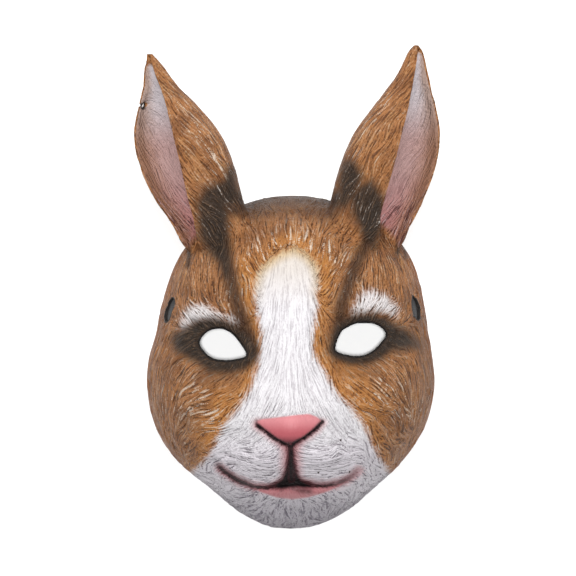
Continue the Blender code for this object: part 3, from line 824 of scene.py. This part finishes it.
spots, normals = spots_of(mask)
across, up = spots[:, 0], spots[:, 1]
hollow_gap = distance_to(hollow_tree, spots)
on_ear = share_of_ear(distance_to(face_tree, spots), distance_to_ears(ear_trees, spots))
ear_sides = [ear_coordinates(spots, *row[1:]) for row in EARS]
ear_up, ear_turn, ear_below = (np.where(across < 0, a, b) for a, b in zip(*ear_sides))
keep(mask, "wall_mm", hollow_gap)
keep(mask, "ear", on_ear)
keep(mask, "ear_up", ear_up)
keep(mask, "ear_turn", ear_turn)
keep(mask, "ear_inner_mm", ear_below - EAR_WALL * 1000 / 2)
OUTLINES = (
    ("white_mm", WHITE_ZONE), ("nose_mm", NOSE), ("parting_mm", PARTING), ("lip_mm", LOWER_LIP)
)
for name, outline in OUTLINES:
    keep(mask, name, depth_inside(across, up, outline))
keep(mask, "brow_mm", np.maximum(*(depth_inside(across, up, brow) for brow in BROWS)))
keep(mask, "nostril_mm", np.minimum(*(line_distance(across, up, line) for line in NOSTRILS)))
keep(mask, "philtrum_mm", line_distance(across, up, PHILTRUM))
keep(mask, "mouth_mm", line_distance(across, up, MOUTH_LINE))
keep(mask, "eye_mm", np.minimum(*(-depth_inside(across, up, outline) for outline in EYES)))
dots = [np.hypot(across - x, up - y) for x, y in WHISKER_DOTS]
keep(mask, "dot_mm", np.minimum.reduce(dots))
patches = [depth_inside(across, up, patch) for patch in DARK_PATCHES]
keep(mask, "dark_mm", np.maximum.reduce(patches))
for airbrush in ("dark", "gold", "blond_glint", "ink"):
    keep(mask, airbrush, airbrushed(airbrush, across, up))
slot_rim = np.full(len(spots), FAR)
for _, side, share in SLOTS:
    run = up - share * FACE_HEIGHT * 1000
    climb = spots[:, 2] - SLOT_RISE * FACE_DEPTH * 1000
    along = (run * math.cos(turn) + climb * math.sin(turn)) / (SLOT_LENGTH * 500)
    beside = (climb * math.cos(turn) - run * math.sin(turn)) / (SLOT_WIDTH * 500)
    slot_rim = np.where(across * side > 0, np.hypot(along, beside), slot_rim)
keep(mask, "slot_rim", slot_rim)
hole_middle = np.array(hole_at).ravel() * 1000
keep(mask, "ear_hole_mm", np.linalg.norm(spots - hole_middle, axis=1))
flow = fur_flow(spots, normals, on_ear)
keep(mask, "flow", flow)
keep(mask, "face_at", spots)

box_low, box_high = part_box("mask_shell")
middle = (spots.min(axis=0) + spots.max(axis=0)) / 2
shift = (np.array(box_low) + np.array(box_high)) / 2 * 1000 - middle
shift[2] = 0
mask.data.vertices.foreach_set("co", ((spots + shift) / 1000).astype(np.float32).ravel())
mask.data.update()
bpy.ops.object.shade_smooth_by_angle(angle=math.radians(60))

# Mask shell, paint layers: brown fur is brushed over cream latex, then gold, dark and white
# are airbrushed, and the nose, the mouth and the insides of the ears are painted last.
STUDIO_LEVEL = 0.73
#   size, length, samples and gain of the streaks
HAIR_STREAKS = (1.15, 8, 11, 5.6)
LOCK_STREAKS = (3.0, 14, 6, 3.2)
TUFT_STREAKS = (1.9, 11, 9, 5.0)
PATCH_SIZE = 16
paint = bpy.data.materials.new("painted_fur_latex")
paint.use_nodes = True
nodes, links = paint.node_tree.nodes, paint.node_tree.links


def colour(red, green, blue):
    """A paint as it looks in the studio, from its red, green and blue out of 255."""
    levels = []
    for value in (red, green, blue):
        share = value / 255
        linear = share / 12.92 if share <= 0.04045 else ((share + 0.055) / 1.055) ** 2.4
        levels.append(linear * STUDIO_LEVEL)
    return (*levels, 1.0)


def feed(socket, value):
    """Link a node's result to a socket, or set a plain value there."""
    if isinstance(value, bpy.types.NodeSocket):
        links.new(value, socket)
    else:
        socket.default_value = value


def calc(operation, first, second=0.0, third=0.0, clamp=False):
    """One step of arithmetic."""
    step = nodes.new("ShaderNodeMath")
    step.operation = operation
    step.use_clamp = clamp
    for socket, value in zip(step.inputs, (first, second, third)):
        feed(socket, value)
    return step.outputs[0]


def kept(name, output="Fac"):
    """What is kept with the vertices under a name."""
    reader = nodes.new("ShaderNodeAttribute")
    reader.attribute_name = name
    return reader.outputs[output]


def grade(value, start, end):
    """0 at start and 1 at end, with a smooth run between."""
    step = nodes.new("ShaderNodeMapRange")
    step.interpolation_type = "SMOOTHSTEP"
    low, high, flip = (start, end, False) if start < end else (end, start, True)
    feed(step.inputs["Value"], value)
    step.inputs["From Min"].default_value = low
    step.inputs["From Max"].default_value = high
    step.inputs["To Min"].default_value = 1.0 if flip else 0.0
    step.inputs["To Max"].default_value = 0.0 if flip else 1.0
    return step.outputs["Result"]


def noise_at(vector, size, detail=0.0):
    """Noise whose bumps are about a size in millimetres."""
    texture = nodes.new("ShaderNodeTexNoise")
    feed(texture.inputs["Vector"], vector)
    texture.inputs["Scale"].default_value = 1 / size
    texture.inputs["Detail"].default_value = detail
    return texture.outputs["Fac"]


def layer(base, over, amount):
    """One paint over another."""
    mix = nodes.new("ShaderNodeMix")
    mix.data_type = "RGBA"
    feed(mix.inputs[0], amount)
    feed(mix.inputs[6], base)
    feed(mix.inputs[7], over)
    return mix.outputs[2]


def along_fur(size, length, samples, gain):
    """Streaks that follow the fur: noise averaged along its flow."""
    total = 0.0
    for step in np.linspace(-length / 2, length / 2, samples):
        moved = nodes.new("ShaderNodeVectorMath")
        moved.operation = "MULTIPLY_ADD"
        feed(moved.inputs[0], flow)
        moved.inputs[1].default_value = (step, step, step)
        feed(moved.inputs[2], place)
        total = calc("ADD", total, noise_at(moved.outputs[0], size, 1.0))
    return calc("MULTIPLY_ADD", total, gain / samples, 0.5 - 0.5 * gain)


def place_in_mm():
    """The place on the piece, in millimetres."""
    scaled = nodes.new("ShaderNodeVectorMath")
    scaled.operation = "SCALE"
    feed(scaled.inputs[0], nodes.new("ShaderNodeTexCoord").outputs["Object"])
    scaled.inputs["Scale"].default_value = 1000
    return scaled.outputs[0]


place = place_in_mm()
flow = kept("flow", "Vector")
hair = along_fur(*HAIR_STREAKS)
lock = along_fur(*LOCK_STREAKS)
tuft = along_fur(*TUFT_STREAKS)
patch = noise_at(place, PATCH_SIZE, 2.0)
split = nodes.new("ShaderNodeSeparateXYZ")
feed(split.inputs[0], kept("face_at", "Vector"))
across_mm, up_mm, rise_mm = split.outputs
stroke = grade(hair, 0.40, 0.16)
light_stroke = grade(hair, 0.60, 0.88)
hair_off = calc("SUBTRACT", hair, 0.5)
lock_off = calc("SUBTRACT", lock, 0.5)


def roughened(value, by_hair, by_lock=0.0):
    """A painted edge that runs in and out with the hairs and locks of the fur."""
    value = calc("MULTIPLY_ADD", hair_off, by_hair, value)
    return calc("MULTIPLY_ADD", lock_off, by_lock, value) if by_lock else value


def part_of(amount, share):
    """A share of an amount."""
    return calc("MULTIPLY", amount, share)


# Brown coat: lighter locks, gold beside the blaze, a dark wash with painted shade in the grooves,
# pale glints with painted highlights, blond tips with painted highlights and painted shade beside
# them, and painted shade towards the rim
white_mm = kept("white_mm")
eye_mm = kept("eye_mm")
fur = layer(colour(122, 76, 42), colour(178, 120, 72), grade(hair, 0.2, 0.65))
fur = layer(fur, colour(200, 148, 98), part_of(grade(lock, 0.45, 0.85), 0.6))
fur = layer(fur, colour(122, 76, 44), part_of(grade(patch, 0.55, 0.3), 0.6))
gold = layer(colour(170, 98, 42), colour(216, 154, 84), hair)
fur = layer(fur, gold, kept("gold"))
fur = layer(fur, gold, part_of(grade(roughened(white_mm, 5), -12, -1), 0.7))
# Dark wash with painted shade in the grooves between the hairs, weaker on the ears
groove_wash_and_shade = calc("MULTIPLY_ADD", kept("ear"), -0.3, 0.7)
fur = layer(fur, colour(66, 40, 24), calc("MULTIPLY", stroke, groove_wash_and_shade))
# Pale dry-brushed glints with painted highlights on the high hairs of the lighter locks
glint = calc("MULTIPLY", light_stroke, grade(lock, 0.35, 0.7))
fur = layer(fur, colour(228, 206, 184), part_of(glint, 0.6))
# Blond tips with painted highlights on the high tufts of the fringe, cheeks and ear edges
blond_glint = calc("MULTIPLY", grade(tuft, 0.62, 0.86), kept("blond_glint"))
fur = layer(fur, colour(244, 226, 206), part_of(blond_glint, 0.9))
# Dark wash with painted shade beside the blond tufts
under_tuft_wash_and_shade = calc("MULTIPLY", grade(tuft, 0.36, 0.14), kept("blond_glint"))
fur = layer(fur, colour(92, 52, 26), part_of(under_tuft_wash_and_shade, 0.55))
# Painted shade: the fur darker towards the rim, where the face turns away
fur = layer(fur, colour(150, 84, 34), part_of(grade(rise_mm, 30, 6), 0.6))
dark = layer(colour(48, 34, 26), colour(112, 76, 48), grade(hair, 0.35, 0.95))
streaked = calc("MULTIPLY_ADD", hair_off, 0.7, kept("dark"))
fur = layer(fur, dark, grade(streaked, 0.1, 0.9))

# White blaze, muzzle and chin, with a grey-lilac tint and painted shade where they turn away at
# the chin and the rim, dark hair strokes with painted shade in the grooves, and the brows
white = layer(colour(218, 213, 217),colour(241, 238, 241), grade(hair, 0.25, 0.6))
warm = calc("MULTIPLY", grade(white_mm, 9, 0), grade(up_mm, 150, 190))
white = layer(white, colour(222, 212, 202), grade(up_mm, 150, 196))
white = layer(white, colour(222, 190, 140), part_of(warm, 0.8))
white = layer(white, colour(236, 228, 236), part_of(grade(up_mm, 74, 50), 0.7))
# Grey-lilac tint and painted shade on the chin, and painted shade where the white turns away
# towards the rim
white = layer(white, colour(190, 184, 193), part_of(grade(up_mm, 34, 8), 0.85))
white = layer(white, colour(160, 152, 160), part_of(grade(rise_mm, 34, 8), 0.6))
# Dark hair strokes with painted shade in the grooves, stronger lower down, and darker gaps between
# the locks of the chin
white_groove_wash_and_shade = calc("ADD", part_of(grade(up_mm, 84, 40), 0.7), 0.14)
white = layer(white, colour(92, 80, 92), calc("MULTIPLY", stroke, white_groove_wash_and_shade))
chin_gap_wash_and_shade = calc("MULTIPLY", grade(tuft, 0.44, 0.22), grade(up_mm, 36, 20))
white = layer(white, colour(104, 96, 110), part_of(chin_gap_wash_and_shade, 0.75))
coat = layer(fur, white, grade(roughened(white_mm, 4, 4), -3.4, 3.2))
wisps = grade(roughened(kept("brow_mm"), 7, 3), -3.0, 5.0)
brow = layer(colour(240, 234, 234), colour(160, 140, 128), stroke)
coat = layer(coat, brow, part_of(wisps, 0.95))

# Dark patches round the eyes and at the ear roots, with pale glints and painted highlights on
# those of the ears
patches = grade(roughened(kept("dark_mm"), 4, 2), -5.0, 4.5)
soot = layer(colour(48, 38, 30), colour(98, 76, 58), grade(hair, 0.45, 0.95))
coat = layer(coat, soot, part_of(patches, 0.96))
coat = layer(coat, colour(58, 44, 34), part_of(grade(roughened(eye_mm, 2), 5, 1), 0.6))
ear_dark = calc("MULTIPLY", patches, kept("ear"))
# Pale glints with painted highlights on the dark patches of the ears
ear_glint = calc("MULTIPLY", light_stroke, grade(lock, 0.5, 0.8))
coat = layer(coat, colour(206, 198, 192), calc("MULTIPLY", part_of(ear_glint, 0.8), ear_dark))

# Pink and red halos and painted shadow under the nose, then the lips, the mouth's ink, the nose
# with painted light on its top and painted shade on its underside, and the small dots
philtrum_mm = kept("philtrum_mm")
mouth_mm = kept("mouth_mm")
nostril_mm = kept("nostril_mm")
nose_mm = kept("nose_mm")
below_nose = grade(up_mm, 82, 74)
pink = colour(212, 150, 154)
red = colour(128, 58, 64)
coat = layer(coat, pink, part_of(grade(roughened(philtrum_mm, -3), 11.0, 3.0), 0.75))
coat = layer(coat, red, part_of(grade(roughened(philtrum_mm, -2), 5.2, 1.8), 0.85))
coat = layer(coat, pink, part_of(grade(roughened(mouth_mm, -4), 6.0, 1.0), 0.6))
mouth_red = calc("MULTIPLY", grade(roughened(mouth_mm, -3), 3.6, 0.8), grade(across_mm, 52, 36))
coat = layer(coat, red, part_of(mouth_red, 0.75))
# Painted shadow under the nose, pink farther out and red close to it
under_nose_shadow = calc("MULTIPLY", grade(roughened(nose_mm, 2), -7.0, -0.6), below_nose)
coat = layer(coat, pink, part_of(under_nose_shadow, 0.7))
near_nose_shadow = calc("MULTIPLY", grade(roughened(nose_mm, 2), -3.5, -0.6), below_nose)
coat = layer(coat, red, part_of(near_nose_shadow, 0.8))
lip = layer(colour(180, 108, 112), colour(208, 146, 150), hair)
coat = layer(coat, lip, grade(kept("lip_mm"), -0.6, 1.2))
corners = calc("MULTIPLY", grade(across_mm, 52, 24), grade(across_mm, -58, -48))
mouth_ink = calc("MULTIPLY", grade(roughened(mouth_mm, -1.4), 2.1, 0.3), corners)
coat = layer(coat, colour(40, 22, 25), part_of(mouth_ink, 0.95))
coat = layer(coat, colour(44, 26, 28), kept("ink"))
parting_mm = kept("parting_mm")
coat = layer(coat, colour(86, 38, 44), part_of(grade(roughened(parting_mm, 2), -3.4, -0.6), 0.8))
coat = layer(coat, colour(26, 19, 21), grade(roughened(parting_mm, 1), -1.3, 0.9))
coat = layer(coat, colour(72, 32, 38), part_of(grade(roughened(philtrum_mm, -1.6), 3.6, 1.3), 0.7))
coat = layer(coat, colour(28, 20, 22), grade(roughened(philtrum_mm, -0.9), 2.4, 0.5))
# The nose pink, lighter on its top and dark red on its underside: painted light from above and
# painted shade below
nose_pink_and_shade = layer(colour(198, 102, 110), colour(222, 143, 148), grade(up_mm, 68, 79))
nose_pink_and_shade = layer(nose_pink_and_shade, colour(110, 54, 62), grade(up_mm, 68, 61))
coat = layer(coat, nose_pink_and_shade, grade(nose_mm, -1.0, 0.6))
coat = layer(coat, colour(36, 22, 25), grade(roughened(nostril_mm, -0.8), 2.3, 0.5))
coat = layer(coat, colour(60, 42, 40), grade(kept("dot_mm"), 1.2, 0.6))
coat = layer(coat, colour(32, 26, 24), grade(eye_mm, 1.9, 0.9))

# Insides of the ears, the bare latex of the hollow, and painted shade on the walls of the slots
# and round the ear hole
ear_up, ear_turn = kept("ear_up"), kept("ear_turn")
near_rear = grade(roughened(ear_turn, 14), 108, 158)
inner = layer(colour(194, 130, 128), colour(194, 158, 154), grade(ear_up, 0.05, 0.45))
inner = layer(inner, colour(212, 202, 206), grade(ear_up, 0.5, 0.78))
tan = layer(colour(148, 104, 76), colour(176, 148, 134), grade(ear_up, 0.45, 0.8))
inner = layer(inner, tan, part_of(near_rear, 0.9))
low_hair = calc("MULTIPLY", grade(ear_up, 0.42, 0.12), grade(tuft, 0.5, 0.25))
inner = layer(inner, colour(78, 38, 36), part_of(low_hair, 0.85))
low_light = calc("MULTIPLY", grade(ear_up, 0.42, 0.15), light_stroke)
inner = layer(inner, colour(214, 178, 178), part_of(low_light, 0.6))
inside_ear = calc("MULTIPLY", grade(kept("ear_inner_mm"), -0.3, 0.3), kept("ear"))
coat = layer(coat, inner, inside_ear)
coat = layer(coat, colour(226, 208, 176), grade(kept("wall_mm"), 0.5, 0.3))
# Painted shade: dark on the cut walls and edges of the strap slots
coat = layer(coat, colour(44, 40, 38), grade(kept("slot_rim"), 1.14, 1.04))
# Painted shade: dark round the hang hole of the left ear
coat = layer(coat, colour(40, 36, 34), grade(kept("ear_hole_mm"), 3.8, 2.8))

# Satin surface, with hairs raised by less than a millimetre and a smoother nose and blaze
HAIR_STRENGTH = 0.9
HAIR_HEIGHT = 0.0013
LEAST_RELIEF = 0.15
shader = nodes["Principled BSDF"]
links.new(coat, shader.inputs["Base Color"])
shader.inputs["Roughness"].default_value = 0.5
shader.inputs["Specular IOR Level"].default_value = 0.22
relief = calc("MULTIPLY_ADD", lock, 0.7, hair)
rough_skin = grade(calc("MAXIMUM", nose_mm, kept("lip_mm")), 0.8, -0.8)
blaze = calc("MULTIPLY", grade(white_mm, 1, 9), grade(up_mm, 82, 100))
rough_skin = calc("MULTIPLY_ADD", blaze, -0.55, rough_skin)


def raise_relief(shader, height, strength, distance):
    """Bump on a material, from a height and its full distance in metres."""
    bump = nodes.new("ShaderNodeBump")
    bump.inputs["Strength"].default_value = strength
    bump.inputs["Distance"].default_value = distance
    feed(bump.inputs["Height"], height)
    links.new(bump.outputs["Normal"], shader.inputs["Normal"])


relief = calc("MULTIPLY", relief, calc("MAXIMUM", rough_skin, LEAST_RELIEF))
raise_relief(shader, relief, HAIR_STRENGTH, HAIR_HEIGHT)
mask.data.materials.clear()
mask.data.materials.append(paint)
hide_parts("mask_shell")
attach(mask, "root")

# Elastic strap: flat woven webbing 20 mm wide that lies across the open back and is glued
# inside both walls. Rubber cords run along it, and the weft shows as fine ribs across them.
CORD_PITCH = 1.25
WEFT_PITCH = 0.8
FUZZ_SIZE = 0.35
RIB_STRENGTH = 0.8
RIB_HEIGHT = 0.0002
webbing = bpy.data.materials.new("black_woven_elastic")
webbing.use_nodes = True
nodes, links = webbing.node_tree.nodes, webbing.node_tree.links
place = place_in_mm()
split = nodes.new("ShaderNodeSeparateXYZ")
feed(split.inputs[0], place)
cords = calc("SINE", calc("MULTIPLY", split.outputs["Y"], 2 * math.pi / CORD_PITCH))
wefts = calc("SINE", calc("MULTIPLY", split.outputs["X"], 2 * math.pi / WEFT_PITCH))
weave = calc("MULTIPLY_ADD", calc("MULTIPLY", cords, wefts), 0.25, 0.5)
weave = calc("MULTIPLY_ADD", cords, 0.25, weave)
fuzz = calc("MULTIPLY_ADD", noise_at(place, FUZZ_SIZE, 2.0), 0.5, weave)
cloth = layer(colour(22, 22, 24), colour(66, 65, 68), grade(fuzz, 0.35, 1.2))
shader = nodes["Principled BSDF"]
links.new(cloth, shader.inputs["Base Color"])
shader.inputs["Roughness"].default_value = 0.85
shader.inputs["Sheen Weight"].default_value = 0.15
raise_relief(shader, weave, RIB_STRENGTH, RIB_HEIGHT)
for slot in bpy.data.objects["elastic_strap"].material_slots:
    slot.material = webbing

# Studio: a pale floor, one light straight down from the camera and a soft one beyond the
# ears, with a little light from all round. The mask is seen from straight above.
FLOOR_SIZE = 12
FLOOR_WHITE = 0.92
KEY_ENERGY = 3.1
KEY_ANGLE = 3
TOP_ENERGY = 22
TOP_SIZE = 1.0
TOP_TILT = -42
ROUND_LIGHT = 0.12
bpy.ops.object.select_all(action="DESELECT")
bpy.ops.mesh.primitive_plane_add(size=FLOOR_SIZE, location=(0, 0, 0))
floor = bpy.context.object
floor.name = "studio_floor"
backdrop = bpy.data.materials.new("studio_floor_white")
backdrop.use_nodes = True
plain = backdrop.node_tree.nodes["Principled BSDF"]
plain.inputs["Base Color"].default_value = (FLOOR_WHITE, FLOOR_WHITE, FLOOR_WHITE, 1)
plain.inputs["Roughness"].default_value = 0.9
floor.data.materials.append(backdrop)

bpy.ops.object.light_add(type="SUN", location=(0, 0, 3))
key = bpy.context.object
key.data.energy = KEY_ENERGY
key.data.angle = math.radians(KEY_ANGLE)
bpy.ops.object.light_add(type="AREA", location=(0, 1.2, 1.3))
top = bpy.context.object
top.data.shape = "DISK"
top.data.size = TOP_SIZE
top.data.energy = TOP_ENERGY
top.rotation_euler = (math.radians(TOP_TILT), 0, 0)
world = bpy.data.worlds.new("studio_world")
world.use_nodes = True
around = world.node_tree.nodes["Background"]
around.inputs["Color"].default_value = (1, 1, 1, 1)
around.inputs["Strength"].default_value = ROUND_LIGHT
bpy.context.scene.world = world
bpy.context.scene.view_settings.view_transform = "Standard"

CAMERA_HEIGHT = 6.0
VIEW_WIDTH = 0.4032
VIEW_LEVEL = 0.020
bpy.ops.object.camera_add(location=(0.0007, -0.00035, CAMERA_HEIGHT), rotation=(0, 0, 0))
camera = bpy.context.object
camera.data.sensor_width = 36
camera.data.lens = 36 * (CAMERA_HEIGHT - VIEW_LEVEL) / VIEW_WIDTH
bpy.context.scene.camera = camera
